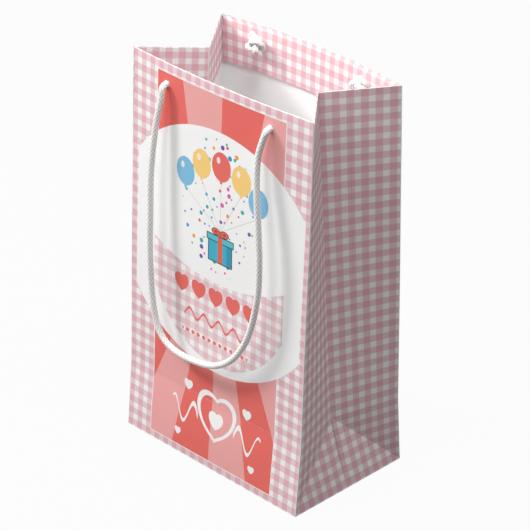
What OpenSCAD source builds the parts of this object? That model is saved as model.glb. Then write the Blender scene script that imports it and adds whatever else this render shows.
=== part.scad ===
// Paper gift bag with two rope handles, standing open.
// Millimetres. X runs along the front from left to right, Y from front to back, Z up.
// The origin is in the middle of the base, on the surface that the bag stands on.

/* [Bag] */
// Width of the front and back
bag_w = 120; // [100:1:160]
// Depth of the base, front to back
bag_d = 74; // [60:1:100]
// Height of the walls, measured along the paper from the base to the mouth
wall_h = 206; // [180:1:260]

/* [Paper] */
// Thickness of the printed paper
paper_t = 0.3; // [0.2:0.05:0.35]
// Depth of the paper turned inside at the mouth
turn_in = 25; // [20:1:35]
// Thickness of the card strips inside the turned edge
card_t = 0.6; // [0.4:0.1:0.7]
// Thickness of the board lying on the base
board_t = 0.8; // [0.6:0.1:1.2]
// Width of the glued side seam
seam_w = 12; // [8:1:16]

/* [How the walls lean] */
// Lean of the lower strip of the front wall, in degrees
front_strip_lean = 5.3; // [0:0.1:8]
// Lean of the front wall above it
front_lean = 2.1; // [0:0.1:5]
// Lean of the lower strip of the back wall
back_strip_lean = 3.9; // [0:0.1:8]
// Lean of the back wall above it
back_lean = 0.8; // [0:0.1:5]
// How far the side folds go in at the top of the base triangles
fold_in_low = 12.5; // [8:0.5:18]
// How far the side folds go in at the mouth
fold_in_top = 24; // [18:0.2:30]

/* [Rope] */
// Diameter of the rope
rope_d = 3.2; // [2.4:0.1:4]
// Diameter of a punched hole
hole_d = 4.4; // [4.2:0.1:6]
// Distance of each hole from the middle of its wall
hole_x = 34.4; // [28:0.2:42]
// Distance of each hole below the mouth
hole_drop = 10.8; // [9:0.2:16]
// Diameter of a knot
knot_d = 9.4; // [8:0.1:11]

/* [Hidden] */

// the crease round the bag, half a depth above the base
low_h = bag_d / 2;
high_h = wall_h - low_h;
half_w = bag_w / 2;
half_d = bag_d / 2;
front_y = -half_d + low_h * sin(front_strip_lean);
front_z = low_h * cos(front_strip_lean);
back_y = half_d - low_h * sin(back_strip_lean);
back_z = low_h * cos(back_strip_lean);
front_top = [front_y + high_h * sin(front_lean), front_z + high_h * cos(front_lean)];
back_top = [back_y - high_h * sin(back_lean), back_z + high_h * cos(back_lean)];

// the fold down the middle of each side
fold_low = [half_w - fold_in_low, 0, sqrt(low_h * low_h - fold_in_low * fold_in_low)];
fold_run = fold_in_top - fold_in_low;
fold_back = 1.5;
fold_top = [
    half_w - fold_in_top,
    fold_back,
    fold_low[2] + sqrt(high_h * high_h - fold_run * fold_run - fold_back * fold_back),
];

// room left at a crease so that neighbouring sheets meet without crossing
edge_gap = 0.45;
fold_gap = 0.3;
layer_gap = 0.1;
hem_inset = 3;
card_inset = 2.4;

// distance of each layer's middle behind the middle of the wall
card_back = paper_t / 2 + layer_gap + card_t / 2;
hem_back = paper_t / 2 + 2 * layer_gap + card_t + paper_t / 2;
hem_face = hem_back + paper_t / 2;
side_hem_back = paper_t + 2 * layer_gap;

// the rope turns down this far in front of the wall
rope_out = 3.4;
stub_out = rope_out - rope_d / 2 - layer_gap;
hole_up = high_h - hole_drop;
tail_l = 5;
cord_sides = 8;
cord_steps = 2;

// route of each rope below its holes
front_route = [
    [-34.9, -32.4, 187], [-37, -34.2, 174], [-38.3, -35.3, 161], [-39.1, -36.2, 148],
    [-39, -37, 132], [-38.9, -37.9, 116], [-38.3, -38.6, 100], [-36.9, -38.9, 83],
    [-34.3, -39.2, 71.5], [-29.5, -39.3, 64], [-21.5, -39.4, 60.3], [-9.4, -39.4, 59.8],
    [3, -39.4, 61.8], [12, -39.3, 66], [19.8, -39.2, 72.5], [26.5, -39, 82],
    [31.6, -38.7, 94], [35.2, -37.9, 112], [35.7, -37.3, 128], [34.5, -36.6, 144],
    [32.7, -35.6, 159], [31.4, -34.6, 171], [31.3, -33.6, 181], [32.8, -32.2, 188.5],
];
back_route = [
    [-35.2, 36.8, 188], [-36.6, 38.4, 176], [-38, 39.8, 164], [-39, 41, 148],
    [-39, 41.8, 128], [-38.5, 42.2, 108], [-36.5, 42.4, 90], [-31.5, 42.6, 75],
    [-23, 42.8, 65], [-12, 43, 60], [0, 43, 58.5], [12, 43, 60], [23, 42.8, 65],
    [31.5, 42.6, 75], [36.5, 42.4, 90], [38.5, 42.2, 108], [39, 41.8, 128],
    [39, 41, 148], [38, 39.8, 164], [36.6, 38.4, 176], [35.2, 36.8, 188],
];

paper = "lightcoral";
inside = "mistyrose";
card = "burlywood";
rope = "white";

// a point on the patch between corners a, b, c, d, and the patch's normal there
function between(p, q, t) = p + (q - p) * t;
function on_patch(k, u, v) = between(between(k[0], k[1], u), between(k[3], k[2], u), v);
function unit(v) = v / norm(v);
function patch_normal(k, u, v) =
    unit(cross(
        between(k[1] - k[0], k[2] - k[3], v),
        between(k[3] - k[0], k[2] - k[1], u)));

// a sheet that twists from one straight side to the other
module twisted_sheet(corners, span_u, span_v, middle, thick, nu = 4, nv = 8) {
    row = nu + 1;
    layer = row * (nv + 1);
    points = [
        for (side = [-0.5, 0.5], j = [0:nv], i = [0:nu])
        let (
            u = between(span_u[0], span_u[1], i / nu),
            v = between(span_v[0], span_v[1], j / nv))
        on_patch(corners, u, v) + patch_normal(corners, u, v) * (middle + side * thick)
    ];
    below = [
        for (j = [0:nv - 1], i = [0:nu - 1])
        let (p = j * row + i)
        each [[p, p + 1, p + row + 1], [p, p + row + 1, p + row]]
    ];
    above = [for (f = below) [f[2] + layer, f[1] + layer, f[0] + layer]];
    u_edges = [
        for (i = [0:nu - 1])
        let (p = i, q = nv * row + i)
        each [
            [p, p + layer, p + layer + 1], [p, p + layer + 1, p + 1],
            [q, q + 1, q + layer + 1], [q, q + layer + 1, q + layer]
        ]
    ];
    v_edges = [
        for (j = [0:nv - 1])
        let (p = j * row, q = j * row + nu)
        each [
            [p + row, p + row + layer, p + layer], [p + row, p + layer, p],
            [q, q + layer, q + row + layer], [q, q + row + layer, q + row]
        ]
    ];
    polyhedron(points, concat(below, above, u_edges, v_edges));
}

// a flat three-cornered sheet, drawn in a little from its creases
module triangle_sheet(a, b, c, inset) {
    la = norm(b - c);
    lb = norm(c - a);
    lc = norm(a - b);
    round_up = la + lb + lc;
    centre = (a * la + b * lb + c * lc) / round_up;
    reach = norm(cross(b - a, c - a)) / round_up;
    n = unit(cross(b - a, c - a)) * paper_t / 2;
    corners = [for (p = [a, b, c]) between(centre, p, (reach - inset) / reach)];
    polyhedron(
        concat([for (p = corners) p - n], [for (p = corners) p + n]),
        [[0, 1, 2], [5, 4, 3], [0, 3, 4, 1], [1, 4, 5, 2], [2, 5, 3, 0]]);
}

// place something drawn on the flat front or back wall: x across, y up, z outward
module on_front(base_y, base_z, lean) {
    translate([0, base_y, base_z]) rotate([90 - lean, 0, 0]) children();
}
module on_back(base_y, base_z, lean) {
    rotate([0, 0, 180]) on_front(-base_y, base_z, lean) children();
}
module on_upper_front() { on_front(front_y, front_z, front_lean) children(); }
module on_upper_back() { on_back(back_y, back_z, back_lean) children(); }

// a flat sheet on a wall: half width, from y0 to y1, its middle at height z
module wall_sheet(half, y0, y1, z, thick) {
    translate([-half, y0, z - thick / 2]) cube([2 * half, y1 - y0, thick]);
}
module punch_holes() {
    for (s = [-1, 1])
        translate([s * hole_x, hole_up, -5]) cylinder(d = hole_d, h = 10, $fn = 32);
}
module wall_panel() {
    difference() {
        wall_sheet(half_w - edge_gap, fold_gap, high_h, 0, paper_t);
        punch_holes();
    }
}
module wall_hem() {
    difference() {
        union() {
            wall_sheet(half_w - hem_inset, high_h - turn_in, high_h, -hem_back, paper_t);
            translate([-half_w + hem_inset, high_h - paper_t, -hem_back])
                cube([bag_w - 2 * hem_inset, paper_t, hem_back - paper_t / 2 - layer_gap / 2]);
        }
        punch_holes();
    }
}
module wall_card() {
    difference() {
        wall_sheet(half_w - card_inset, high_h - turn_in + 1,
            high_h - paper_t - layer_gap, -card_back, card_t);
        punch_holes();
    }
}
module wall_knot(s) {
    translate([s * hole_x, hole_up, 0]) {
        translate([0, 0, -hem_face - knot_d / 2 - layer_gap]) {
            sphere(d = knot_d, $fn = 32);
            rotate([90, 0, s * 20]) cylinder(d = rope_d, h = knot_d / 2 + tail_l, $fn = 24);
        }
        translate([0, 0, -hem_face - knot_d / 2])
            cylinder(d = rope_d, h = hem_face + knot_d / 2 + stub_out, $fn = 24);
    }
}
module wall_seam(y0, y1) {
    back = paper_t + layer_gap;
    translate([-half_w + edge_gap + 1, y0, -back - paper_t / 2])
        cube([seam_w, y1 - y0, paper_t]);
}

// corners of the front right quarter of the side folds, mirrored for the other three
function flip(p, sx) = [p[0] * sx, p[1], p[2]];
front_low = [half_w, front_y, front_z];
front_high = [half_w, front_top[0], front_top[1]];
back_low = [half_w, back_y, back_z];
back_high = [half_w, back_top[0], back_top[1]];

module side_sheet(sx, low, high, front, span_v, middle, trim) {
    u_cut = trim / half_d;
    twisted_sheet(
        front
            ? [flip(low, sx), flip(fold_low, sx), flip(fold_top, sx), flip(high, sx)]
            : [flip(fold_low, sx), flip(low, sx), flip(high, sx), flip(fold_top, sx)],
        front ? [u_cut, 1 - fold_gap / half_d] : [fold_gap / half_d, 1 - u_cut],
        span_v, sx * middle, paper_t);
}
module gusset_half(sx, low, high, front) {
    side_sheet(sx, low, high, front, [fold_gap / high_h, 1], 0, edge_gap);
}
module gusset_hem(sx, low, high, front) {
    side_sheet(sx, low, high, front, [1 - turn_in / high_h, 1], -side_hem_back, 3.2);
}
module base_gusset(sx) {
    triangle_sheet([sx * half_w, -sx * half_d, 0], [sx * half_w, sx * half_d, 0],
        flip(fold_low, sx), edge_gap);
}
module corner_sheet(sx, sy, low) {
    triangle_sheet([sx * half_w, sy * half_d, 0], flip(fold_low, sx), flip(low, sx), edge_gap);
}

// one rope, round in section, through smooth points
function smooth(p, i, t) =
    let (
        n = len(p) - 1,
        a = p[max(i - 1, 0)], b = p[i], c = p[min(i + 1, n)], d = p[min(i + 2, n)])
    0.5 * (2 * b + (c - a) * t + (2 * a - 5 * b + 4 * c - d) * t * t
        + (3 * b - a - 3 * c + d) * t * t * t);
module rope_tube(p) {
    line = concat(
        [for (i = [0:len(p) - 2], s = [0:cord_steps - 1]) smooth(p, i, s / cord_steps)],
        [p[len(p) - 1]]);
    n = len(line);
    rings = [
        for (i = [0:n - 1])
        let (
            along = unit(line[min(i + 1, n - 1)] - line[max(i - 1, 0)]),
            side = unit(cross(along, [0, 1, 0])),
            out = cross(side, along))
        for (k = [0:cord_sides - 1])
        let (a = 360 * k / cord_sides)
        line[i] + (side * cos(a) + out * sin(a)) * rope_d / 2
    ];
    skin = [
        for (i = [0:n - 2], k = [0:cord_sides - 1])
        let (a = i * cord_sides + k, b = i * cord_sides + (k + 1) % cord_sides)
        each [[a, b, b + cord_sides], [a, b + cord_sides, a + cord_sides]]
    ];
    ends = [
        [for (k = [cord_sides - 1:-1:0]) k],
        [for (k = [0:cord_sides - 1]) (n - 1) * cord_sides + k]
    ];
    polyhedron(rings, concat(skin, ends));
}
// where each rope turns down, in front of its holes
front_turn = [
    front_y + hole_up * sin(front_lean) - rope_out * cos(front_lean),
    front_z + hole_up * cos(front_lean) + rope_out * sin(front_lean),
];
back_turn = [
    back_y - hole_up * sin(back_lean) + rope_out * cos(back_lean),
    back_z + hole_up * cos(back_lean) + rope_out * sin(back_lean),
];
module rope_loop(turn, route) {
    rope_tube(concat(
        [[-hole_x, turn[0], turn[1]]], route, [[hole_x, turn[0], turn[1]]]));
}

// base
module base_board() {
    color(card) translate([-half_w + 2, -half_d + 1.8, 1.35])
        cube([bag_w - 4, bag_d - 3.6, board_t]);
}
module base_flap_front() {
    color(paper) translate([-half_w + 0.5, -half_d + 0.4, 0])
        cube([bag_w - 1, half_d + 12, paper_t]);
}
module base_flap_back() {
    color(inside) translate([-half_w + 0.5, -12, 0.45])
        cube([bag_w - 1, half_d + 12 - 0.4, paper_t]);
}
module base_tab(s) {
    color(inside) translate([0, 0, 0.9]) linear_extrude(paper_t)
        polygon([
            [s * (half_w - 0.6), -half_d + 1], [s * (half_w - 0.6), half_d - 1],
            [s * (half_w - 24), half_d - 13], [s * (half_w - 24), -half_d + 13]
        ]);
}
module base_tab_left() { base_tab(-1); }
module base_tab_right() { base_tab(1); }

// lower walls
module front_strip() {
    color(paper) on_front(-half_d, 0, front_strip_lean)
        wall_sheet(half_w - edge_gap, edge_gap, low_h - fold_gap, 0, paper_t);
}
module back_strip() {
    color(paper) on_back(half_d, 0, back_strip_lean)
        wall_sheet(half_w - edge_gap, edge_gap, low_h - fold_gap, 0, paper_t);
}
module base_gusset_left() { color(paper) base_gusset(-1); }
module base_gusset_right() { color(paper) base_gusset(1); }
module corner_front_left() { color(paper) corner_sheet(-1, -1, front_low); }
module corner_front_right() { color(paper) corner_sheet(1, -1, front_low); }
module corner_back_left() { color(paper) corner_sheet(-1, 1, back_low); }
module corner_back_right() { color(paper) corner_sheet(1, 1, back_low); }

// sides above the base triangles
module gusset_left_front() { color(paper) gusset_half(-1, front_low, front_high, true); }
module gusset_left_back() { color(paper) gusset_half(-1, back_low, back_high, false); }
module gusset_right_front() { color(paper) gusset_half(1, front_low, front_high, true); }
module gusset_right_back() { color(paper) gusset_half(1, back_low, back_high, false); }
module gusset_hem_left_front() { color(inside) gusset_hem(-1, front_low, front_high, true); }
module gusset_hem_left_back() { color(inside) gusset_hem(-1, back_low, back_high, false); }
module gusset_hem_right_front() { color(inside) gusset_hem(1, front_low, front_high, true); }
module gusset_hem_right_back() { color(inside) gusset_hem(1, back_low, back_high, false); }

// front wall and what it carries
module front_panel() { color(paper) on_upper_front() wall_panel(); }
module front_hem() { color(inside) on_upper_front() wall_hem(); }
module front_card() { color(card) on_upper_front() wall_card(); }
module front_knot_left() { color(rope) on_upper_front() wall_knot(-1); }
module front_knot_right() { color(rope) on_upper_front() wall_knot(1); }

// back wall and what it carries
module back_panel() { color(paper) on_upper_back() wall_panel(); }
module back_hem() { color(inside) on_upper_back() wall_hem(); }
module back_card() { color(card) on_upper_back() wall_card(); }
module back_knot_left() { color(rope) on_upper_back() wall_knot(1); }
module back_knot_right() { color(rope) on_upper_back() wall_knot(-1); }
module seam_flap() {
    color(inside) on_upper_back() wall_seam(1, high_h - turn_in - 0.5);
}
module seam_flap_low() {
    color(inside) on_back(half_d, 0, back_strip_lean) wall_seam(2.5, low_h - 1);
}

// rope handles
module front_cord() { color(rope) rope_loop(front_turn, front_route); }
module back_cord() { color(rope) rope_loop(back_turn, back_route); }

base_board();
base_flap_front();
base_flap_back();
base_tab_left();
base_tab_right();
front_strip();
back_strip();
base_gusset_left();
base_gusset_right();
corner_front_left();
corner_front_right();
corner_back_left();
corner_back_right();
gusset_left_front();
gusset_left_back();
gusset_right_front();
gusset_right_back();
gusset_hem_left_front();
gusset_hem_left_back();
gusset_hem_right_front();
gusset_hem_right_back();
front_panel();
front_hem();
front_card();
front_knot_left();
front_knot_right();
back_panel();
back_hem();
back_card();
back_knot_left();
back_knot_right();
seam_flap();
seam_flap_low();
front_cord();
back_cord();
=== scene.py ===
"""A small paper gift bag with two braided rope handles, standing open."""

import math

import bpy
import numpy as np
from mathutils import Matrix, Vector


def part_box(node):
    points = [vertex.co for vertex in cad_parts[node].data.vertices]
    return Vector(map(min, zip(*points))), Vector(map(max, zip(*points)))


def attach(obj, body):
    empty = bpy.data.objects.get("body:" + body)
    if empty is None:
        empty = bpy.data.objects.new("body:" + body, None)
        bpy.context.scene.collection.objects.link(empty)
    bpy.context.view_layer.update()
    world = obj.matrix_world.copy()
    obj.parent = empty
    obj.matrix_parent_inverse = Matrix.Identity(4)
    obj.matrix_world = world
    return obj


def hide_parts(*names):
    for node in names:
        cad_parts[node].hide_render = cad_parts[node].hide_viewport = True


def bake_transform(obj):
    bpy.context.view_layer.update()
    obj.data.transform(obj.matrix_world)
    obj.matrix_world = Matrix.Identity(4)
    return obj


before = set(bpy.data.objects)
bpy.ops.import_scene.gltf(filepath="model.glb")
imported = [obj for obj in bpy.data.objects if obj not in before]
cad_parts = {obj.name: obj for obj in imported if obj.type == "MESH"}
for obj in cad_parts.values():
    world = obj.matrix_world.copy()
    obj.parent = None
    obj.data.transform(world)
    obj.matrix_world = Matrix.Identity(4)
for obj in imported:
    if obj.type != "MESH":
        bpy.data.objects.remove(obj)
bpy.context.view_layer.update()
scene = bpy.context.scene
scene.view_settings.view_transform = "Standard"


# ---------------------------------------------------------------- camera
# A long lens, looking down on the front right corner of the bag.

camera_data = bpy.data.cameras.new("camera")
camera_data.lens = 170.0
camera_data.sensor_width = 36.0
camera_data.clip_end = 20.0
camera = bpy.data.objects.new("camera", camera_data)
camera.location = (0.7600, -0.7494, 0.6809)
look = Vector((-0.6249, 0.6177, -0.4776))
camera.rotation_euler = look.to_track_quat("-Z", "Y").to_euler()
scene.collection.objects.link(camera)
scene.camera = camera


# ---------------------------------------------------------------- rope material
# Soft white cotton braid. The mesh carries how deep each point lies in the
# plait: the colour is painted darker in the grooves as painted shade, and a little brighter on the crowns.


def fresh_material(name):
    material = bpy.data.materials.new(name)
    material.use_nodes = True
    tree = material.node_tree
    shader = tree.nodes["Principled BSDF"]
    return material, tree, shader


def add_node(tree, kind, **settings):
    made = tree.nodes.new(kind)
    for key, value in settings.items():
        setattr(made, key, value)
    return made


rope_white, tree, shader = fresh_material("rope_white")
shader.inputs["Roughness"].default_value = 0.85
shader.inputs["Sheen Weight"].default_value = 0.25
shader.inputs["Sheen Roughness"].default_value = 0.5
shader.inputs["Specular IOR Level"].default_value = 0.2
height = add_node(tree, "ShaderNodeAttribute", attribute_name="plait")
place = add_node(tree, "ShaderNodeTexCoord")
fibre = add_node(tree, "ShaderNodeTexNoise")
fibre.inputs["Scale"].default_value = 5200.0
fibre.inputs["Detail"].default_value = 3.0
tree.links.new(place.outputs["Object"], fibre.inputs["Vector"])
blotch = add_node(tree, "ShaderNodeTexNoise")
blotch.inputs["Scale"].default_value = 300.0
tree.links.new(place.outputs["Object"], blotch.inputs["Vector"])
# plait depth sets painted shade: dark in the grooves, white on the crowns
ramp = add_node(tree, "ShaderNodeValToRGB")
ramp.color_ramp.elements[0].position = 0.15
ramp.color_ramp.elements[0].color = (0.56, 0.55, 0.53, 1)
ramp.color_ramp.elements[1].position = 0.75
ramp.color_ramp.elements[1].color = (0.93, 0.925, 0.91, 1)
tree.links.new(height.outputs["Fac"], ramp.inputs["Fac"])
tint = add_node(tree, "ShaderNodeMix", data_type="RGBA", blend_type="MULTIPLY")
tint.inputs["Factor"].default_value = 0.08
tree.links.new(ramp.outputs["Color"], tint.inputs["A"])
tree.links.new(blotch.outputs["Fac"], tint.inputs["B"])
tree.links.new(tint.outputs["Result"], shader.inputs["Base Color"])
fuzz = add_node(tree, "ShaderNodeBump")
fuzz.inputs["Strength"].default_value = 0.35
fuzz.inputs["Distance"].default_value = 0.0002
tree.links.new(fibre.outputs["Fac"], fuzz.inputs["Height"])
tree.links.new(fuzz.outputs["Normal"], shader.inputs["Normal"])


# ---------------------------------------------------------------- rope handles
# Each rope leaves one hole, hangs in a loop against its wall and goes back
# into the other hole. The plait is real relief: strands that pass over and
# under each other.


def evenly(points, step):
    """Smooth curve through the points, cut into even steps."""
    p = np.array(points, float)
    ends = np.vstack([2 * p[0] - p[1], p, 2 * p[-1] - p[-2]])
    t = np.linspace(0, 1, 24, endpoint=False)[:, None]
    parts = []
    for i in range(len(p) - 1):
        a, b, c, d = ends[i : i + 4]
        parts.append(
            0.5
            * (
                2 * b
                + (c - a) * t
                + (2 * a - 5 * b + 4 * c - d) * t**2
                + (3 * b - a - 3 * c + d) * t**3
            )
        )
    line = np.vstack(parts + [p[-1:]])
    run = np.concatenate([[0], np.cumsum(np.linalg.norm(np.diff(line, axis=0), axis=1))])
    count = max(4, int(run[-1] / step))
    at = np.linspace(0, run[-1], count + 1)
    return np.stack([np.interp(at, run, line[:, k]) for k in range(3)], 1), run[-1]


def mesh_object(name, points, faces, smooth=True):
    mesh = bpy.data.meshes.new(name)
    mesh.from_pydata([tuple(p) for p in points], [], faces)
    mesh.polygons.foreach_set("use_smooth", [smooth] * len(mesh.polygons))
    mesh.update()
    made = bpy.data.objects.new(name, mesh)
    scene.collection.objects.link(made)
    return made


def braided_rope(name, points, radius, cells=6, cell_length=0.0025, around=30):
    """A plaited rope round a smooth line; returns the piece and its line."""
    line, length = evenly(points, 0.00042)
    along = np.gradient(line, axis=0)
    along /= np.linalg.norm(along, axis=1)[:, None]
    side = np.cross(along[0], [0.3, 0.9, 0.2])
    sides = []
    for a in along:
        side = side - a * np.dot(side, a)
        side /= np.linalg.norm(side)
        sides.append(side)
    side = np.array(sides)
    out = np.cross(along, side)
    angle = np.linspace(0, 2 * math.pi, around, endpoint=False)
    run = np.linspace(0, length, len(line))[:, None]
    left = cells * angle[None, :] / (2 * math.pi) + run / cell_length
    right = cells * angle[None, :] / (2 * math.pi) - run / cell_length
    up = np.abs(np.sin(math.pi * left))
    down = np.abs(np.sin(math.pi * right))
    over = (np.floor(left) + np.floor(right)) % 2 == 0
    plait = np.where(over, up**0.75 * down**0.3, up**0.3 * down**0.75)
    r = radius * (0.84 + 0.17 * plait)
    ends = np.minimum(run, length - run)[:, 0]
    r *= np.sqrt(np.clip(ends / radius, 0.02, 1) * (2 - np.clip(ends / radius, 0.02, 1)))[:, None]
    ring = side[:, None] * np.cos(angle)[None, :, None] + out[:, None] * np.sin(angle)[None, :, None]
    points = (line[:, None] + ring * r[:, :, None]).reshape(-1, 3)
    n = len(line)
    k = np.arange(around)
    faces = []
    for i in range(n - 1):
        a, b = i * around + k, i * around + (k + 1) % around
        faces += np.stack([a, b, b + around, a + around], 1).tolist()
    faces.append(list(range(around - 1, -1, -1)))
    faces.append([(n - 1) * around + j for j in range(around)])
    made = mesh_object(name, points, faces)
    made.data.attributes.new("plait", "FLOAT", "POINT").data.foreach_set(
        "value", plait.astype(np.float32).ravel()
    )
    made.data.materials.append(rope_white)
    return made, line


rope_radius = 0.00165
front_line = [
    (-0.0344, -0.0272, 0.1951), (-0.0344, -0.0300, 0.1950), (-0.0345, -0.0316, 0.1937),
    (-0.0346, -0.0321, 0.1912), (-0.0350, -0.0326, 0.187), (-0.0370, -0.0342, 0.174),
    (-0.0383, -0.0353, 0.161), (-0.0391, -0.0362, 0.148), (-0.0390, -0.0370, 0.132),
    (-0.0389, -0.0379, 0.116), (-0.0383, -0.0386, 0.100), (-0.0369, -0.0389, 0.083),
    (-0.0343, -0.0392, 0.0715), (-0.0295, -0.0393, 0.064), (-0.0215, -0.0394, 0.0603),
    (-0.0094, -0.0394, 0.0598), (0.0030, -0.0394, 0.0618), (0.0120, -0.0393, 0.066),
    (0.0198, -0.0392, 0.0725), (0.0265, -0.0390, 0.082), (0.0316, -0.0387, 0.094),
    (0.0352, -0.0379, 0.112), (0.0357, -0.0373, 0.128), (0.0345, -0.0366, 0.144),
    (0.0327, -0.0356, 0.159), (0.0314, -0.0346, 0.171), (0.0313, -0.0336, 0.181),
    (0.0328, -0.0325, 0.1885), (0.0338, -0.0319, 0.192), (0.0343, -0.0314, 0.1940),
    (0.0344, -0.0299, 0.1950), (0.0344, -0.0272, 0.1951),
]
back_half = [
    (0.0344, 0.0321, 0.1951), (0.0344, 0.0349, 0.1950), (0.0345, 0.0364, 0.1937),
    (0.0346, 0.0368, 0.1912), (0.0352, 0.0372, 0.187), (0.0366, 0.0384, 0.176),
    (0.0380, 0.0398, 0.164), (0.0390, 0.0410, 0.148), (0.0390, 0.0418, 0.128),
    (0.0385, 0.0422, 0.108), (0.0365, 0.0424, 0.090), (0.0315, 0.0426, 0.075),
    (0.0230, 0.0428, 0.065), (0.0120, 0.0430, 0.060),
]
back_line = [(-x, y, z) for x, y, z in back_half] + [(0, 0.0430, 0.0585)]
back_line += [(x, y, z) for x, y, z in reversed(back_half)]

for name, points, wall, handle, turn_y in (
    ("front_rope", front_line, "front_wall", "front_handle", -0.0312),
    ("back_rope", back_line, "back_wall", "back_handle", 0.0357),
):
    rope, line = braided_rope(name, points, rope_radius)
    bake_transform(rope)
    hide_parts("front_cord" if name == "front_rope" else "back_cord")


# ---------------------------------------------------------------- knots
# An overhand knot inside the wall holds each end of a rope. The rope runs
# from the knot out through its hole, and a short tail is left beside it.


def tied_knot(name, hole, inward, turn, lift, node, body):
    """A tight overhand knot behind a hole; a lifted knot has its tail up, the others down."""
    hole, inward = np.array(hole), np.array(inward, float)
    inward /= np.linalg.norm(inward)
    across = np.array([1.0, 0, 0])
    rise = np.cross(inward, across)
    t = np.linspace(0.32, 2 * math.pi - 0.42, 30) + turn
    size = 0.00118
    wide = (2 + np.cos(3 * (t - turn))) * size
    a, b = wide * np.cos(2 * (t - turn) + turn), wide * np.sin(2 * (t - turn) + turn)
    c = np.sin(3 * (t - turn)) * size * 1.6
    centre = hole + inward * 0.0056 + np.array([0.0010, 0, lift])
    loop = [centre + across * x + rise * y + inward * z for x, y, z in zip(a, b, c)]
    start = [hole - inward * 0.0012, hole + inward * 0.0014]
    way = 1 if lift > 0 else -1
    tail = [loop[-1] + np.array([-0.0012, 0, 0.0010 * way]) + 0.0006 * inward]
    tail.append(tail[0] + np.array([-0.0016, 0, 0.0024 * way]) + 0.0003 * inward)
    knot, _ = braided_rope(name, start + loop + tail, 0.00158)
    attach(knot, body)
    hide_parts(node)
    return knot


for side, x in (("left", -0.0344), ("right", 0.0344)):
    tied_knot(
        f"front_knot_{side}_tied", (x, -0.0284, 0.1951), (0, 1, -0.04),
        0.4 + 9 * x, 0.0, f"front_knot_{side}", "front_wall",
    )
    tied_knot(
        f"back_knot_{side}_tied", (x, 0.0337, 0.1951), (0, -1, -0.02),
        2.2 - 14 * x, 0.0026, f"back_knot_{side}", "back_wall",
    )


# ---------------------------------------------------------------- printed check
# The pink check that covers the whole sheet: two crossing bands, darker where
# they cross, with fine lines inside each band. It is drawn on the flat sheet,
# whose coordinates every paper piece carries.


class Drawing:
    """Short names for the maths of one node tree."""

    def __init__(self, tree):
        self.tree = tree

    def put(self, socket, value):
        if isinstance(value, bpy.types.NodeSocket):
            self.tree.links.new(value, socket)
        else:
            socket.default_value = value

    def maths(self, operation, *values):
        made = add_node(self.tree, "ShaderNodeMath", operation=operation)
        for socket, value in zip(made.inputs, values):
            self.put(socket, value)
        return made.outputs[0]

    def add(self, a, b):
        return self.maths("ADD", a, b)

    def sub(self, a, b):
        return self.maths("SUBTRACT", a, b)

    def mul(self, a, b):
        return self.maths("MULTIPLY", a, b)

    def power(self, a, b):
        return self.maths("POWER", a, b)

    def below(self, a, b):
        return self.maths("LESS_THAN", a, b)

    def above(self, a, b):
        return self.maths("GREATER_THAN", a, b)

    def both(self, a, b):
        return self.maths("MULTIPLY", a, b)

    def either(self, a, b):
        return self.maths("MAXIMUM", a, b)

    def invert(self, a):
        return self.maths("SUBTRACT", 1.0, a)

    def size(self, a):
        return self.maths("ABSOLUTE", a)

    def wrap(self, a, low, high):
        return self.maths("WRAP", a, high, low)

    def paint(self, under, over, mask):
        made = add_node(self.tree, "ShaderNodeMix", data_type="RGBA")
        self.put(made.inputs["Factor"], mask)
        for name, value in (("A", under), ("B", over)):
            if isinstance(value, tuple):
                value = (*value, 1.0)
            self.put(made.inputs[name], value)
        return made.outputs["Result"]

    def oval(self, s, t, cs, ct, rs, rt):
        """1 on the rim of an upright oval, less inside."""
        a = self.power(self.mul(self.sub(s, cs), 1 / rs), 2.0)
        b = self.power(self.mul(self.sub(t, ct), 1 / rt), 2.0)
        return self.maths("SQRT", self.add(a, b))

    def heart(self, s, t, size):
        """Below 0 inside a heart that is about 2.2 sizes wide, centred on s = t = 0."""
        x2 = self.power(self.mul(s, 1 / size), 2.0)
        y = self.mul(t, 1 / size)
        body = self.power(self.sub(self.add(x2, self.power(y, 2.0)), 1.0), 3.0)
        return self.sub(body, self.mul(x2, self.power(y, 3.0)))

    def flat(self):
        """Across and up the flat sheet, in millimetres."""
        read = add_node(self.tree, "ShaderNodeAttribute", attribute_name="flat")
        split = add_node(self.tree, "ShaderNodeSeparateXYZ")
        self.tree.links.new(read.outputs["Vector"], split.inputs[0])
        return self.mul(split.outputs[0], 1000.0), self.mul(split.outputs[1], 1000.0)


def colour_group(name):
    group = bpy.data.node_groups.new(name, "ShaderNodeTree")
    group.interface.new_socket("Color", in_out="OUTPUT", socket_type="NodeSocketColor")
    leave = group.nodes.new("NodeGroupOutput")
    return group, Drawing(group), leave.inputs["Color"]


paper_white = (0.92, 0.915, 0.91)
check_white = (0.915, 0.88, 0.88)
check_light = (0.80, 0.615, 0.64)
check_dark = (0.74, 0.42, 0.46)
check_size = 6.5

check_print, d, result = colour_group("check print")
s, t = d.flat()
band_s = d.above(d.size(d.wrap(d.sub(s, 55.7), -check_size / 2, check_size / 2)), check_size * 0.235)
band_t = d.above(d.size(d.wrap(d.sub(t, 200.7), -check_size / 2, check_size / 2)), check_size * 0.235)
line_s = d.mul(d.above(d.wrap(s, 0.0, 0.8), 0.5), 0.13)
line_t = d.mul(d.above(d.wrap(t, 0.0, 0.8), 0.5), 0.13)
single = d.paint(check_white, check_light, d.either(band_s, band_t))
single = d.paint(single, check_dark, d.mul(d.either(line_s, line_t), d.either(band_s, band_t)))
d.put(result, d.paint(single, check_dark, d.mul(d.both(band_s, band_t), 0.92)))


# ---------------------------------------------------------------- front picture
# A panel of coral and pink rays with a big white oval over it, a fan of plain
# balloons tied to a gift box, confetti, and a lower field of checks and hearts.


def use_group(drawing, group):
    made = add_node(drawing.tree, "ShaderNodeGroup", node_tree=group)
    return made.outputs["Color"]


coral = (0.80, 0.150, 0.125)
ray_pink = (0.845, 0.385, 0.370)

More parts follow.
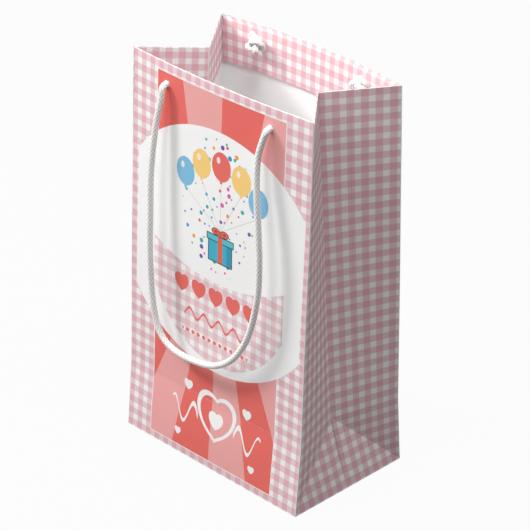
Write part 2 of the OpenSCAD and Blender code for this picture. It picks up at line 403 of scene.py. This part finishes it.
picture, d, result = colour_group("front picture")
s, t = d.flat()
checks = use_group(d, check_print)
s = d.add(s, d.mul(d.sub(70.0, t), 0.0115))
in_panel = d.both(d.below(d.size(s), 42.5), d.below(d.size(d.sub(t, 102.6)), 98.4))
in_border = d.both(d.below(d.size(s), 42.9), d.below(d.size(d.sub(t, 102.6)), 98.8))

upper = d.above(t, 105.0)
depth_up = d.sub(t, 64.0)
depth_down = d.sub(131.0, t)
lean_up = d.maths("DEGREES", d.maths("ARCTAN2", s, depth_up))
lean_down = d.maths("DEGREES", d.maths("ARCTAN2", s, depth_down))
ray_up = d.below(d.wrap(d.sub(lean_up, 1.0), 0.0, 22.2), 11.1)
ray_down = d.above(d.wrap(d.sub(lean_down, -0.2), 0.0, 23.4), 11.7)
ray = d.add(d.mul(upper, ray_up), d.mul(d.invert(upper), ray_down))
rays = d.paint(ray_pink, coral, ray)
art = d.paint(checks, paper_white, in_border)
art = d.paint(art, rays, in_panel)

oval = d.below(d.oval(s, t, 0.0, 118.6, 68.5, 64.2), 1.0)
oval = d.both(oval, d.below(d.size(s), 56.4))
art = d.paint(art, paper_white, oval)
field = d.below(d.oval(s, t, 0.8, 117.9, 51.0, 59.8), 1.0)
field = d.both(field, d.above(d.oval(s, t, 0.0, 198.8, 95.8, 95.8), 1.0))
field = d.both(field, d.below(t, 117.0))
field = d.both(field, d.below(d.size(d.sub(s, 0.8)), 44.2))
faint = d.paint(checks, paper_white, 0.18)
art = d.paint(art, faint, field)

# confetti round the balloons: small spots, no two alike
spots = add_node(d.tree, "ShaderNodeTexVoronoi", voronoi_dimensions="2D")
spots.inputs["Scale"].default_value = 215.0
read = add_node(d.tree, "ShaderNodeAttribute", attribute_name="flat")
d.tree.links.new(read.outputs["Vector"], spots.inputs["Vector"])
spot_bits = add_node(d.tree, "ShaderNodeSeparateColor")
d.tree.links.new(spots.outputs["Color"], spot_bits.inputs["Color"])
spot_size = d.maths("MULTIPLY_ADD", d.power(spot_bits.outputs[0], 2.0), 0.19, 0.10)
spot = d.below(spots.outputs["Distance"], spot_size)
spot = d.both(spot, d.above(spot_bits.outputs[1], 0.30))
near = d.oval(s, t, 1.0, 144.0, 24.5, 37.5)
spot = d.both(spot, d.below(near, 1.0))
hue = add_node(d.tree, "ShaderNodeValToRGB")
hue.color_ramp.interpolation = "CONSTANT"
confetti = [
    (0.0, (0.80, 0.07, 0.05)), (0.16, (0.90, 0.33, 0.03)), (0.32, (0.03, 0.42, 0.38)),
    (0.48, (0.02, 0.32, 0.62)), (0.64, (0.20, 0.08, 0.42)), (0.82, (0.75, 0.10, 0.38)),
]
hue.color_ramp.elements.remove(hue.color_ramp.elements[1])
hue.color_ramp.elements[0].color = (*confetti[0][1], 1)
for place_at, shade in confetti[1:]:
    hue.color_ramp.elements.new(place_at).color = (*shade, 1)
d.tree.links.new(spot_bits.outputs[2], hue.inputs["Fac"])
art = d.paint(art, hue.outputs["Color"], spot)

# five plain balloons in an even fan, each on a straight string from the bow of the box
outline = (0.035, 0.03, 0.05)
string_grey = (0.42, 0.38, 0.38)
sky, honey = (0.22, 0.50, 0.72), (0.93, 0.62, 0.20)
bow_s, bow_t, fan_reach = 2.5, 131.5, 34.0
balloon_wide, balloon_tall = 6.3, 7.5
for turn, shade in zip((-46, -23, 0, 23, 46), (sky, honey, coral, honey, sky)):
    cs = bow_s + fan_reach * math.sin(math.radians(turn))
    ct = bow_t + fan_reach * math.cos(math.radians(turn))
    knob_t = ct - balloon_tall - 0.5
    slope = math.atan2(cs - bow_s, knob_t - bow_t)
    along = d.mul(d.sub(t, bow_t), 1 / (knob_t - bow_t))
    centre = d.maths("MULTIPLY_ADD", along, cs - bow_s, bow_s)
    thread = d.below(d.size(d.sub(s, centre)), 0.14 / math.cos(slope))
    thread = d.both(thread, d.both(d.above(t, bow_t), d.below(t, knob_t)))
    art = d.paint(art, string_grey, d.mul(thread, 0.6))
    art = d.paint(art, shade, d.below(d.oval(s, t, cs, knob_t, 0.9, 0.8), 1.0))
    art = d.paint(art, shade, d.below(d.oval(s, t, cs, ct, balloon_wide, balloon_tall), 1.0))
    shine = d.below(d.oval(s, t, cs - 2.0, ct + 2.9, 1.2, 1.7), 1.0)
    art = d.paint(art, paper_white, d.mul(shine, 0.75))

# the gift box that the balloons are tied to
box_s = d.size(d.sub(s, 2.5))
box_t = d.sub(t, 121.0)
art = d.paint(art, outline, d.both(d.below(box_s, 8.2), d.below(d.size(box_t), 6.7)))
art = d.paint(art, (0.03, 0.31, 0.46), d.both(d.below(box_s, 7.7), d.below(d.size(box_t), 6.2)))
lit_face = d.both(d.below(d.size(d.sub(s, 0.9)), 6.0), d.below(d.size(box_t), 6.2))
art = d.paint(art, (0.05, 0.42, 0.58), lit_face)
lid = d.both(d.below(box_s, 9.2), d.below(d.size(d.sub(box_t, 6.2)), 1.9))
art = d.paint(art, outline, lid)
lid = d.both(d.below(box_s, 8.7), d.below(d.size(d.sub(box_t, 6.2)), 1.4))
art = d.paint(art, (0.10, 0.52, 0.62), lid)
art = d.paint(art, (0.78, 0.13, 0.07), d.both(d.below(box_s, 1.5), d.below(d.size(d.sub(box_t, 0.7)), 6.9)))
bow_loops = d.oval(box_s, box_t, 2.9, 9.9, 2.9, 1.9)
art = d.paint(art, outline, d.below(bow_loops, 1.0))
art = d.paint(art, (0.80, 0.15, 0.08), d.below(bow_loops, 0.82))
art = d.paint(art, (0.45, 0.05, 0.03), d.below(bow_loops, 0.36))
art = d.paint(art, (0.70, 0.10, 0.05), d.below(d.oval(s, t, 2.5, 130.4, 1.3, 1.3), 1.0))

# a row of hearts, a wavy rule and a row of dots on the lower field
in_row = d.below(d.size(s), 29.6)
row = d.heart(d.wrap(s, -5.9, 5.9), d.sub(t, 94.3), 4.3)
art = d.paint(art, coral, d.both(d.below(row, 0.0), in_row))
wave = d.maths("SINE", d.mul(s, 0.62))
rule = d.below(d.size(d.sub(t, d.maths("MULTIPLY_ADD", wave, 2.4, 80.6))), 0.75)
art = d.paint(art, coral, d.both(rule, d.below(d.size(s), 21.5)))
dot = d.below(d.oval(d.wrap(s, -1.9, 1.9), t, 0.0, 70.3, 1.05, 1.05), 1.0)
art = d.paint(art, coral, d.both(dot, d.below(d.size(s), 22.7)))

# the white ornament on the lower rays: a big heart between two scrolls
heart_s, heart_t = d.sub(s, 3.0), d.sub(t, 27.5)
big = d.both(d.below(d.heart(heart_s, heart_t, 12.0), 0.0), d.above(d.heart(heart_s, heart_t, 9.9), 0.0))
art = d.paint(art, paper_white, big)
art = d.paint(art, paper_white, d.below(d.heart(heart_s, d.sub(t, 27.0), 4.4), 0.0))
far = d.size(heart_s)
swing = d.maths("SINE", d.mul(d.sub(far, 12.5), 0.46))
thick = d.maths("MULTIPLY_ADD", far, -0.055, 2.35)
scroll = d.below(d.size(d.sub(t, d.maths("MULTIPLY_ADD", swing, 6.0, 25.0))), thick)
scroll = d.both(scroll, d.both(d.above(far, 12.6), d.below(far, 31.0)))
art = d.paint(art, paper_white, scroll)
small = d.heart(d.sub(far, 20.5), d.sub(t, 39.5), 2.6)
art = d.paint(art, paper_white, d.below(small, 0.0))
tiny = d.heart(d.sub(far, 26.0), d.sub(t, 11.5), 1.9)
art = d.paint(art, paper_white, d.below(tiny, 0.0))
d.put(result, art)


# ---------------------------------------------------------------- paper materials
# Printed paper with a satin face, plain white paper for its back and its cut
# edges, and plain card. Fibres and faint cockling are in the relief, and folds
# carry a mark: pale where the print is worn, and dark as painted shade where a fold lies in shadow.

# fold marks: pale for worn print, negative for painted shade along folds and creases
fold_wear_and_shade = bpy.data.node_groups.new("fold wear", "ShaderNodeTree")
fold_wear_and_shade.interface.new_socket("Mask", in_out="OUTPUT", socket_type="NodeSocketFloat")
leave = fold_wear_and_shade.nodes.new("NodeGroupOutput")
d = Drawing(fold_wear_and_shade)
read = add_node(fold_wear_and_shade, "ShaderNodeAttribute", attribute_name="crease")
grain = add_node(fold_wear_and_shade, "ShaderNodeTexNoise")
grain.inputs["Scale"].default_value = 900.0
grain.inputs["Detail"].default_value = 4.0
flat_read = add_node(fold_wear_and_shade, "ShaderNodeAttribute", attribute_name="flat")
fold_wear_and_shade.links.new(flat_read.outputs["Vector"], grain.inputs["Vector"])
s, t = d.flat()
# the foot's pressed centre crease gets a dark line of painted shade
foot_crease_shade = d.maths("MAXIMUM", d.sub(1.0, d.mul(d.size(d.sub(d.size(s), 97.0)), 2.2)), 0.0)
foot_crease_shade = d.mul(foot_crease_shade, d.both(d.below(t, 36.0), d.maths("MINIMUM", d.mul(t, 0.045), 0.9)))
seam_line = d.maths("MAXIMUM", d.sub(1.0, d.mul(d.size(d.sub(s, 111.0)), 3.0)), 0.0)
seam_line = d.mul(d.both(seam_line, d.above(t, 37.0)), 0.3)
marked = d.sub(read.outputs["Fac"], d.add(foot_crease_shade, seam_line))
wear_and_shade = d.mul(marked, d.maths("MULTIPLY_ADD", grain.outputs["Fac"], 1.0, 0.4))
d.put(leave.inputs["Mask"], wear_and_shade)

paper_relief = bpy.data.node_groups.new("paper relief", "ShaderNodeTree")
paper_relief.interface.new_socket("Normal", in_out="OUTPUT", socket_type="NodeSocketVector")
leave = paper_relief.nodes.new("NodeGroupOutput")
d = Drawing(paper_relief)
read = add_node(paper_relief, "ShaderNodeAttribute", attribute_name="flat")
fibres = add_node(paper_relief, "ShaderNodeTexNoise")
fibres.inputs["Scale"].default_value = 2600.0
fibres.inputs["Detail"].default_value = 3.0
cockle = add_node(paper_relief, "ShaderNodeTexNoise")
cockle.inputs["Scale"].default_value = 34.0
cockle.inputs["Detail"].default_value = 1.5
for texture in (fibres, cockle):
    paper_relief.links.new(read.outputs["Vector"], texture.inputs["Vector"])
fine = add_node(paper_relief, "ShaderNodeBump")
fine.inputs["Strength"].default_value = 0.12
fine.inputs["Distance"].default_value = 0.0001
wide = add_node(paper_relief, "ShaderNodeBump")
wide.inputs["Strength"].default_value = 0.25
wide.inputs["Distance"].default_value = 0.0012
paper_relief.links.new(fibres.outputs["Fac"], fine.inputs["Height"])
paper_relief.links.new(cockle.outputs["Fac"], wide.inputs["Height"])
paper_relief.links.new(fine.outputs["Normal"], wide.inputs["Normal"])
d.put(leave.inputs["Normal"], wide.outputs["Normal"])


def paper_material(name, colour, roughness, specular):
    """Paper or card whose colour is a print group or a plain colour."""
    material, tree, shader = fresh_material(name)
    d = Drawing(tree)
    shader.inputs["Specular IOR Level"].default_value = specular
    wear = add_node(tree, "ShaderNodeGroup", node_tree=fold_wear_and_shade)
    if isinstance(colour, tuple):
        noise = add_node(tree, "ShaderNodeTexNoise")
        noise.inputs["Scale"].default_value = 60.0
        read = add_node(tree, "ShaderNodeAttribute", attribute_name="flat")
        tree.links.new(read.outputs["Vector"], noise.inputs["Vector"])
        under = d.paint(colour, tuple(0.94 * c for c in colour), noise.outputs["Fac"])
    else:
        under = use_group(d, colour)
    pale = d.mul(d.maths("MAXIMUM", wear.outputs["Mask"], 0.0), 0.6)
    # the dark part is painted shade at the top fold, the low crease and the foot's centre crease; it also
    # draws the seam line
    dark = d.mul(d.maths("MAXIMUM", d.mul(wear.outputs["Mask"], -1.0), 0.0), 0.8)
    wear_and_shade = d.paint(d.paint(under, (0.95, 0.94, 0.93), pale), (0.22, 0.19, 0.19), dark)
    d.put(shader.inputs["Base Color"], wear_and_shade)
    d.put(shader.inputs["Roughness"], d.maths("MULTIPLY_ADD", wear.outputs["Mask"], 0.15, roughness))
    relief = add_node(tree, "ShaderNodeGroup", node_tree=paper_relief)
    tree.links.new(relief.outputs["Normal"], shader.inputs["Normal"])
    return material


picture_paper = paper_material("picture_paper", picture, 0.46, 0.35)
check_paper = paper_material("check_paper", check_print, 0.46, 0.35)
plain_paper = paper_material("plain_paper", (0.945, 0.945, 0.94), 0.75, 0.2)
white_card = paper_material("white_card", (0.84, 0.83, 0.80), 0.8, 0.2)


# ---------------------------------------------------------------- front wall
# One sheet: up the front, over the mouth round the edge of the card strip and
# down inside as the turned edge. It bows out between its corners, which the
# side folds hold back. The two rope holes are punched through both layers.

half_w, half_d, wall_h = 0.060, 0.037, 0.206
low_h = half_d
high_h = wall_h - low_h
front_crease = (-0.033582, 0.036842)
back_crease = (0.034483, 0.036914)
front_lean, back_lean = math.radians(2.1), math.radians(0.8)
hem = 0.025


def bow(x, v, corner, middle):
    """How far a wall stands out of its plane: corner at the sides, middle at the centre."""
    v = np.clip(v, 0, 1.02)
    wave = 0.00012 * np.sin(61 * x + 1.0) * np.sin(11 * v + 0.6)
    return v**1.5 * (corner + (middle - corner) * (1 - (x / half_w) ** 2)) + wave * v * (1 - v) * 4


def on_front(x, up, behind):
    """A point of the front wall, up from the low crease, behind its middle layer."""
    out = bow(x, up / high_h, -0.0010, 0.0020) - behind
    c, s = math.cos(front_lean), math.sin(front_lean)
    return np.stack([x, front_crease[0] + up * s - out * c, front_crease[1] + up * c + out * s], -1)


def over_the_top(run, top, r, full):
    """Height and depth of a sheet turned inside at the mouth: pinched at the fold, full below."""
    straight = top - r
    bend = math.pi * r
    angle = np.clip((run - straight) / r, 0, math.pi)
    up = np.where(run < straight, run, straight + r * np.sin(angle))
    up = np.where(run > straight + bend, straight - (run - straight - bend), up)
    open_up = np.clip((run - straight - bend) / 0.0035, 0, 1)
    open_up = open_up * open_up * (3 - 2 * open_up)
    return up, r - r * np.cos(angle) + (full - 2 * r) * open_up


def paper_sheet(name, across, up, place, flat, finish, holes=(), crease=None, thick=0.0003):
    """A sheet of paper, printed face outward, from its flat grid and where that grid goes."""
    grid_s, grid_t = np.meshgrid(across, up)
    centre_holes = np.array(holes, float).reshape(-1, 3)
    for hs, ht, r in centre_holes:
        away = np.hypot(grid_s - hs, grid_t - ht)
        snap = (np.abs(away - r) < 0.00042) & (away > 1e-6)
        scale = np.where(snap, r / np.maximum(away, 1e-9), 1.0)
        grid_s, grid_t = hs + (grid_s - hs) * scale, ht + (grid_t - ht) * scale
    points = place(grid_s, grid_t)
    rows, cols = grid_s.shape
    index = np.arange(rows * cols).reshape(rows, cols)
    quads = np.stack([index[:-1, :-1], index[:-1, 1:], index[1:, 1:], index[1:, :-1]], -1)
    middle_s = (grid_s[:-1, :-1] + grid_s[1:, 1:]) / 2
    middle_t = (grid_t[:-1, :-1] + grid_t[1:, 1:]) / 2
    keep = np.ones(middle_s.shape, bool)
    for hs, ht, r in centre_holes:
        keep &= np.hypot(middle_s - hs, middle_t - ht) > r * 0.97
    made = mesh_object(name, points.reshape(-1, 3), quads[keep].tolist())
    s, t = flat(grid_s, grid_t)
    finish_sheet(made, s.ravel(), t.ravel(), finish, crease, thick)
    return made


def finish_sheet(made, s, t, finish, crease, thick):
    """Flat coordinates and fold marks on the mesh, then the paper's thickness."""
    mesh = made.data
    values = np.stack([s, t, np.zeros_like(s)], 1).astype(np.float32)
    mesh.attributes.new("flat", "FLOAT_VECTOR", "POINT").data.foreach_set("vector", values.ravel())
    marks = np.zeros(len(s)) if crease is None else crease(s, t)
    mesh.attributes.new("crease", "FLOAT", "POINT").data.foreach_set(
        "value", np.clip(marks, -1, 1).astype(np.float32).ravel()
    )
    mesh.materials.append(finish)
    mesh.materials.append(plain_paper)
    solid = made.modifiers.new("thickness", "SOLIDIFY")
    solid.thickness = thick
    solid.offset = -1.0
    solid.use_even_offset = True
    solid.material_offset = 1
    solid.material_offset_rim = 1
    evaluated = made.evaluated_get(bpy.context.evaluated_depsgraph_get())
    baked = bpy.data.meshes.new_from_object(evaluated)
    made.modifiers.clear()
    made.data = baked
    baked.polygons.foreach_set("use_smooth", [True] * len(baked.polygons))
    baked.set_sharp_from_angle(angle=math.radians(34))


def closer(edges, centres, reach, fine, coarse):
    """Grid lines from edges[0] to edges[1], closer together near each centre."""
    lines, at = [edges[0]], edges[0]
    while at < edges[1] - fine * 0.6:
        near = any(abs(at - c) < reach for c in centres)
        at = min(at + (fine if near else coarse), edges[1])
        lines.append(at)
    return np.array(lines)


def fold_marks(across, up, width=0.00045):
    """Marks along lines of the flat sheet: each place with its strength, pale wear or (-) painted shade."""

    def marks(s, t):
        wear_and_shade = np.zeros(s.shape)
        for place, run in ((across, s), (up, t)):
            for at, strength in place.items():
                mark = strength * np.exp(-(((run - at) / width) ** 2))
                wear_and_shade = np.where(np.abs(mark) > np.abs(wear_and_shade), mark, wear_and_shade)
        return wear_and_shade

    return marks


hole_x, hole_up, hole_r = 0.0344, high_h - 0.0108, 0.0022
top_fold, hem_depth = 0.00033, 0.0011
inner_hole = high_h - top_fold + math.pi * top_fold + (0.0108 - top_fold)
columns = closer((-half_w, half_w), (-half_w, -hole_x, hole_x, half_w - 0.003), 0.0036, 0.00045, 0.003)
rows_up = closer((0.00002, high_h + hem), (0.0, hole_up, inner_hole), 0.0036, 0.00045, 0.003)
bend_rows = high_h - top_fold + np.linspace(0, math.pi, 7) * top_fold
rows_up = np.sort(np.concatenate([rows_up[np.abs(rows_up - high_h) > 0.0016], bend_rows]))
rope_holes = [(sx * hole_x, up, hole_r) for sx in (-1, 1) for up in (hole_up, inner_hole)]


def front_sheet(x, run):
    up, behind = over_the_top(run, high_h, top_fold, hem_depth)
    drawn_in = np.where(run > high_h, 1 - 0.034 * np.clip((run - high_h) / 0.002, 0, 1), 1.0)
    return on_front(x * drawn_in, up, behind)


# the dark marks at the top fold and the low crease are painted shade; the side edges are pale wear
front_marks = fold_marks({-half_w: 0.12, half_w: 0.35}, {low_h: -0.10, wall_h + 0.0003: -0.75})
front_paper = paper_sheet(
    "front_paper", columns, rows_up, front_sheet, lambda x, run: (x, low_h + run),
    picture_paper, rope_holes, front_marks,
)
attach(front_paper, "front_wall")
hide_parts("front_panel", "front_hem")


def card_strip(name, place, node, body):
    """The card strip inside a turned edge, with the rope holes through it."""
    lines = closer((-0.0576, 0.0576), (-hole_x, hole_x), 0.0036, 0.00045, 0.003)
    ups = closer((high_h - hem + 0.001, high_h - 0.0040), (hole_up,), 0.0036, 0.00045, 0.003)
    strip = paper_sheet(
        name, lines, ups, lambda x, up: place(x, up, 0.00031), lambda x, up: (x, up),
        white_card, [(-hole_x, hole_up, hole_r), (hole_x, hole_up, hole_r)], None, 0.00048,
    )
    strip.data.materials[1] = white_card
    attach(strip, body)
    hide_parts(node)


card_strip("front_card_strip", on_front, "front_card", "front_wall")


# ---------------------------------------------------------------- back wall
# The same sheet on the far side, with the same picture facing backward. Its
# turned edge faces the mouth. The glued side seam lies inside its right edge.


def on_back(x, up, behind):
    out = bow(x, up / high_h, -0.0012, 0.0036) - behind
    c, s = math.cos(back_lean), math.sin(back_lean)
    return np.stack([-x, back_crease[0] - up * s + out * c, back_crease[1] + up * c + out * s], -1)


def back_sheet(x, run):
    up, behind = over_the_top(run, high_h, top_fold, hem_depth)
    drawn_in = np.where(run > high_h, 1 - 0.034 * np.clip((run - high_h) / 0.002, 0, 1), 1.0)
    return on_back(x * drawn_in, up, behind)


# the dark mark at the top fold is painted shade; the other marks are pale wear
back_paper = paper_sheet(
    "back_paper", columns, rows_up, back_sheet, lambda x, run: (x, low_h + run),
    picture_paper, rope_holes, fold_marks({-half_w: 0.2, half_w: 0.2}, {low_h: 0.04, wall_h + 0.0003: -1.0}),
)
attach(back_paper, "back_wall")
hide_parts("back_panel", "back_hem")
card_strip("back_card_strip", on_back, "back_card", "back_wall")

seam = paper_sheet(
    "side_seam", np.linspace(-0.0585, -0.0465, 7), np.linspace(0.001, high_h - hem - 0.0005, 60),
    lambda x, up: on_back(x, up, 0.0004), lambda x, up: (x, low_h + up), plain_paper,
)
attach(seam, "back_wall")
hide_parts("seam_flap")


# ---------------------------------------------------------------- lower strips
# The lowest half depth of the front and the back, below the crease that runs
# round the bag. Their foot is the edge of the base.


def strip_place(way, crease_y, crease_z):
    def place(x, up):
        v = up / low_h
        foot, head = half_d * way, crease_y
        puff = 0.00035 * np.sin(math.pi * v) * (1 - (x / half_w) ** 2) * way
        y = foot + (head - foot) * v + puff
        return np.stack([x * -way, y, crease_z * v + 0 * x], -1)

    return place


# each strip's dark mark at the low crease is painted shade; the mark at its foot is pale wear
for name, way, crease, node in (
    ("front_foot_paper", -1, front_crease, "front_strip"),
    ("back_foot_paper", 1, back_crease, "back_strip"),
):
    foot = paper_sheet(
        name, np.linspace(-half_w, half_w, 61), np.linspace(0.00015, low_h - 0.00002, 21),
        strip_place(way, crease[0], crease[1]), lambda x, up: (x, up), picture_paper,
        (), fold_marks({-half_w: 0.12, half_w: 0.3}, {0.0: 0.1, low_h: -0.10}),
    )
    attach(foot, "bag")
    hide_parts(node)

low_seam = paper_sheet(
    "side_seam_foot", np.linspace(-0.0585, -0.0465, 7), np.linspace(0.0025, low_h - 0.001, 14),
    lambda x, up: strip_place(1, *back_crease)(x, up) + np.array([0, -0.0004, 0]),
    lambda x, up: (x, up), plain_paper,
)
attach(low_seam, "bag")
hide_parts("seam_flap_low")


# ---------------------------------------------------------------- side folds
# Each side is two twisting sheets that meet in a fold pushed into the bag.
# Their top edge is turned in too.

fold_low_x, fold_low_z = 0.0475, 0.034825


def gusset_place(sx, front, fold_top_x):
    """Where half a side goes: across from the wall's edge to the fold, up from the low crease."""
    crease = front_crease if front else back_crease

    def surface(a, up):
        v = up / high_h
        edge = on_front(0 * up + half_w, up, 0.0) if front else on_back(0 * up - half_w, up, 0.0)
        top = np.array([fold_top_x, 0.0015, 0.2036])
        low = np.array([fold_low_x, 0.0, fold_low_z])
        fold = low + (top - low) * v[..., None]
        u = (a / half_d)[..., None]
        p = edge + (fold - edge) * u
        belly = 0.0007 * np.sin(math.pi * u[..., 0]) * np.sin(math.pi * np.clip(v, 0, 1))
        p[..., 0] += belly if front else -belly
        p[..., 0] *= sx
        return p

    def place(a, run):
        up, behind = over_the_top(run, high_h, 0.00032, 0.00064)
        p = surface(a, up)
        step = 0.0004
        da = surface(a + step, up) - surface(a - step, up)
        du = surface(a, up + step) - surface(a, up - step)
        n = np.cross(da, du)
        n /= np.linalg.norm(n, axis=-1)[..., None]
        return p - n * behind[..., None] * (sx if front else -sx)

    return place


side_rows = np.concatenate([
    np.linspace(0, high_h - 0.0006, 72),
    high_h - 0.00032 + np.linspace(0, math.pi, 8) * 0.00032,
    np.linspace(high_h + 0.0016, high_h + hem, 12),
])
for sx, side, fold_top_x in ((1, "right", 0.0352), (-1, "left", 0.0378)):
    for front, part in ((True, "front"), (False, "back")):
        place = gusset_place(sx, front, fold_top_x)
        near = np.linspace(0, half_d, 21)
        outward = front == (sx > 0)
        across = near if outward else near[::-1]
        if front:
            flat = lambda a, run, sx=sx: (sx * (half_w + a), low_h + run)
        else:
            flat = lambda a, run, sx=sx: (sx * (half_w + 2 * half_d - a), low_h + run)
        edges = {sx * half_w: 0.15, sx * (half_w + half_d): 0.05, sx * (half_w + 2 * half_d): 0.1}
        # the dark mark at the top fold is painted shade; the other marks are pale wear
        marks = fold_marks(edges, {low_h: 0.04, wall_h + 0.0003: -0.8}, 0.0004)
        panel = paper_sheet(f"{side}_side_{part}", across, side_rows, place, flat, check_paper, (), marks)
        wall = "front_wall" if front else "back_wall"
        way = -1 if front else 1
        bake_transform(panel)
        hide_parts(f"gusset_{side}_{part}", f"gusset_hem_{side}_{part}")


# ---------------------------------------------------------------- foot of the sides
# Below the side folds: a triangle that stands on the base's edge, leaning in,
# with a pressed line down its middle, and a corner triangle on each side of it.


def triangle_sheet(name, corners, flats, node, dent=None):
    """A three-cornered sheet, finely divided, through three corners."""
    n = 22
    points, s, t, index = [], [], [], {}
    a, b, c = (np.array(p, float) for p in corners)
    for i in range(n + 1):
        for j in range(n + 1 - i):
            u, v = i / n, j / n
            index[i, j] = len(points)
            p = a + (b - a) * u + (c - a) * v
            if dent is not None:
                p = p + dent(u, v)
            points.append(p)
            s.append(flats[0][0] + (flats[1][0] - flats[0][0]) * u + (flats[2][0] - flats[0][0]) * v)
            t.append(flats[0][1] + (flats[1][1] - flats[0][1]) * u + (flats[2][1] - flats[0][1]) * v)
    faces = []
    for i in range(n):
        for j in range(n - i):
            faces.append((index[i, j], index[i + 1, j], index[i, j + 1]))
            if i + j < n - 1:
                faces.append((index[i + 1, j], index[i + 1, j + 1], index[i, j + 1]))
    made = mesh_object(name, points, faces)
    finish_sheet(made, np.array(s), np.array(t), check_paper, None, 0.0003)
    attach(made, "bag")
    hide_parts(node)


for sx, side in ((1, "right"), (-1, "left")):
    foot_front = (sx * half_w, -half_d, 0.0002)
    foot_back = (sx * half_w, half_d, 0.0002)
    apex = (sx * fold_low_x, 0.0, fold_low_z)
    crease_front = (sx * half_w, *front_crease)
    crease_back = (sx * half_w, *back_crease)
    s0, s1, s2 = sx * half_w, sx * (half_w + half_d), sx * (half_w + 2 * half_d)

    def pressed(u, v, sx=sx):
        away = abs(u - (1 - v) / 2) * 2 / max(1 - v, 0.05)
        return np.array([-sx * 0.0015 * math.exp(-((away / 0.12) ** 2)) * v * (1 - v) * 3, 0, 0])

    order = (foot_front, foot_back, apex)
    flats = ((s0, 0.0), (s2, 0.0), (s1, low_h))
    if sx < 0:
        order = (foot_back, foot_front, apex)
        flats = ((s2, 0.0), (s0, 0.0), (s1, low_h))
    triangle_sheet(f"{side}_foot", order, flats, f"base_gusset_{side}", pressed)
    order = (foot_front, apex, crease_front)
    flats = ((s0, 0.0), (s1, low_h), (s0, low_h))
    if sx < 0:
        order, flats = (order[0], order[2], order[1]), (flats[0], flats[2], flats[1])
    triangle_sheet(f"{side}_front_corner", order, flats, f"corner_front_{side}")
    order = (foot_back, crease_back, apex)
    flats = ((s2, 0.0), (s2, low_h), (s1, low_h))
    if sx < 0:
        order, flats = (order[0], order[2], order[1]), (flats[0], flats[2], flats[1])
    triangle_sheet(f"{side}_back_corner", order, flats, f"corner_back_{side}")


# ---------------------------------------------------------------- base
# Two short tabs, two long flaps glued one over the other, and a loose board
# that covers them inside.

def base_sheet(node, finish, narrowing=0.0):
    """One glued piece of the base, outer face down; a tab narrows toward the middle."""
    low, high = (np.array(p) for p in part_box(node))
    outer = max(abs(low[0]), abs(high[0]))

    def place(x, y):
        inward = (outer - np.abs(x)) / (high[0] - low[0])
        return np.stack([x, y * (1 - narrowing * inward), low[2] + 0 * x], -1)

    sheet = paper_sheet(
        f"{node}_paper", np.linspace(low[0], high[0], 31), np.linspace(high[1], low[1], 25),
        place, lambda x, y: (x, -half_d - y), finish,
    )
    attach(sheet, "bag")
    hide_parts(node)


base_sheet("base_flap_front", check_paper)
base_sheet("base_flap_back", plain_paper)
base_sheet("base_tab_left", plain_paper, 1 / 3)
base_sheet("base_tab_right", plain_paper, 1 / 3)

board_low, board_high = (np.array(p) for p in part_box("base_board"))
board = paper_sheet(
    "loose_board",
    np.linspace(board_low[0], board_high[0], 40),
    np.linspace(board_low[1], board_high[1], 26),
    lambda x, y: np.stack([
        x, y, (board_low[2] + board_high[2]) / 2 + 0.0004 * ((x / half_w) ** 4 + (y / half_d) ** 4) / 2,
    ], -1),
    lambda x, y: (x, y), white_card, (), None, 0.0008,
)
board.data.materials[1] = white_card
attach(board, "bag")
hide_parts("base_board")


# ---------------------------------------------------------------- studio
# A pale floor and a soft white surround. The main light comes from the left, and
# weaker ones from the front, from above, from behind and from the right.

floor_points = [(-3, -3, -0.0002), (3, -3, -0.0002), (3, 3, -0.0002), (-3, 3, -0.0002)]
floor = mesh_object("floor", floor_points, [(0, 1, 2, 3)], False)
floor_white, tree, shader = fresh_material("floor_white")
shader.inputs["Base Color"].default_value = (0.25, 0.25, 0.25, 1)
shader.inputs["Roughness"].default_value = 0.9
d = Drawing(tree)
seen = add_node(tree, "ShaderNodeLightPath")
glow = add_node(tree, "ShaderNodeEmission")
glow.inputs["Color"].default_value = (1, 1, 1, 1)
blend = add_node(tree, "ShaderNodeMixShader")
d.put(blend.inputs[0], d.mul(seen.outputs["Is Camera Ray"], 0.96))
tree.links.new(shader.outputs[0], blend.inputs[1])
tree.links.new(glow.outputs[0], blend.inputs[2])
tree.links.new(blend.outputs[0], tree.nodes["Material Output"].inputs["Surface"])
floor.data.materials.append(floor_white)

world = bpy.data.worlds.new("studio")
scene.world = world
world.use_nodes = True
world.node_tree.nodes["Background"].inputs["Color"].default_value = (1, 1, 1, 1)
world.node_tree.nodes["Background"].inputs["Strength"].default_value = 0.22


def soft_light(name, direction, distance, size, power):
    data = bpy.data.lights.new(name, "AREA")
    data.shape = "DISK"
    data.size = size
    data.energy = power
    lamp = bpy.data.objects.new(name, data)
    direction = Vector(direction).normalized()
    lamp.location = Vector((0, 0, 0.1)) + direction * distance
    lamp.rotation_euler = direction.to_track_quat("Z", "Y").to_euler()
    scene.collection.objects.link(lamp)


soft_light("key", (-0.66, -0.38, 0.64), 1.6, 0.30, 18.6)
soft_light("fill", (-0.22, -0.62, 0.75), 1.7, 1.1, 12.6)
soft_light("overhead", (0.12, -0.10, 1.0), 0.32, 0.08, 0.42)
soft_light("top", (0.0, -0.05, 1.0), 1.6, 1.2, 8.0)
soft_light("back", (-0.2, 0.9, 0.4), 1.8, 1.0, 6.0)
soft_light("right", (0.5, 0.2, 1.0), 1.6, 0.8, 4.0)
